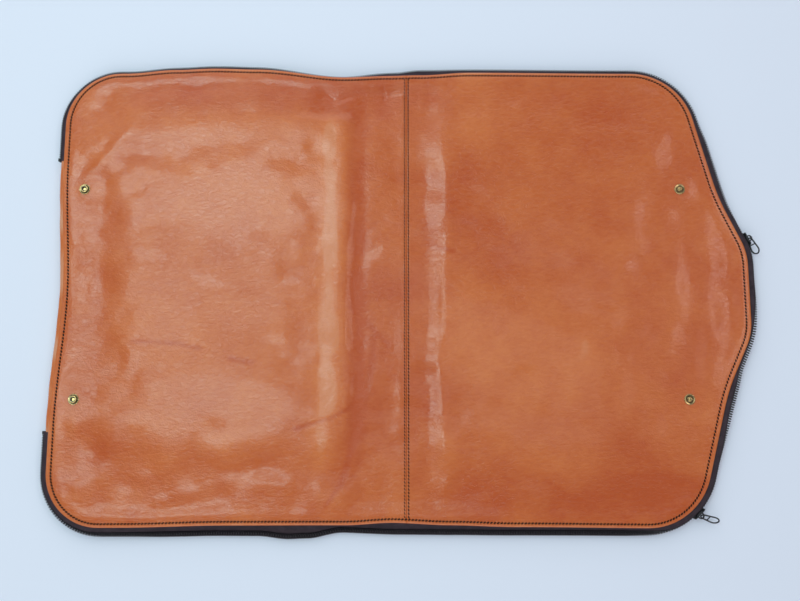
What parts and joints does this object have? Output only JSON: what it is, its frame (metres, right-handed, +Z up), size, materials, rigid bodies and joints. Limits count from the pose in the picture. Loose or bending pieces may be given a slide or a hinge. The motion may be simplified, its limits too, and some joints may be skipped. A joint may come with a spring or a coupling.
{
  "type": "portfolio case",
  "caption": "Zip-round leather portfolio case that opens flat; the nosed half folds over and closes on press studs.",
  "frame": {"origin": "on the surface that the case lies on, under the fold, at mid height", "axes": "+X from the fold to the nose of the closing half, +Y along the fold towards the upper edge, +Z up"},
  "size_m": [0.7156, 0.4742, 0.015],
  "materials": {
    "leather": "glazed, slightly worn",
    "zip_tape": "woven",
    "zip_chain": "satin",
    "gunmetal": "dark plated, worn",
    "spring_steel": "bare",
    "brass": "polished, slightly tarnished"
  },
  "bodies": {
    "left_half": {"front_cover_left": "leather", "back_cover_left": "leather", "spine_gusset": "leather", "zip_tape_front_left": "zip_tape", "zip_tape_back_left": "zip_tape", "zip_chain_front_left": "zip_chain", "zip_chain_back_left": "zip_chain", "zip_end_stops": "gunmetal", "snap_sockets": "brass", "socket_springs": "spring_steel", "socket_rivets": "brass"},
    "nose_half": {"front_fold_band": "leather", "front_cover_nose": "leather", "back_cover_nose": "leather", "zip_tape_front_nose": "zip_tape", "zip_tape_back_nose": "zip_tape", "zip_chain_front_nose": "zip_chain", "zip_chain_back_nose": "zip_chain", "mouth_teeth_front": "zip_chain", "mouth_teeth_back": "zip_chain", "snap_studs": "brass", "stud_rivets": "brass"},
    "nose_slider": {"nose_slider": "gunmetal"},
    "nose_pull": {"nose_pull": "gunmetal"},
    "corner_slider": {"corner_slider": "gunmetal"},
    "corner_pull": {"corner_pull": "gunmetal"}
  },
  "joints": [
    {"name": "fold", "type": "hinge", "parent": "left_half", "child": "nose_half", "pos_m": [0, 0, 0.014], "axis": [0, -1, 0], "range_deg": [0, 180]},
    {"name": "nose_slide", "type": "hinge", "parent": "nose_half", "child": "nose_slider", "pos_m": [0.3085, 0.028, 0.006], "axis": [0, 0, 1], "range_deg": [-24, 0]},
    {"name": "corner_slide", "type": "hinge", "parent": "nose_half", "child": "corner_slider", "pos_m": [0.25713, -0.165, 0.006], "axis": [0, 0, 1], "range_deg": [0, 30]},
    {"name": "nose_pull_swing", "type": "hinge", "parent": "nose_slider", "child": "nose_pull", "pos_m": [0.37318, 0.0568, 0.006], "axis": [0, 0, 1], "range_deg": [0, 178]},
    {"name": "corner_pull_swing", "type": "hinge", "parent": "corner_slider", "child": "corner_pull", "pos_m": [0.31073, -0.2186, 0.006], "axis": [0, 0, 1], "range_deg": [-101, 49]}
  ]
}
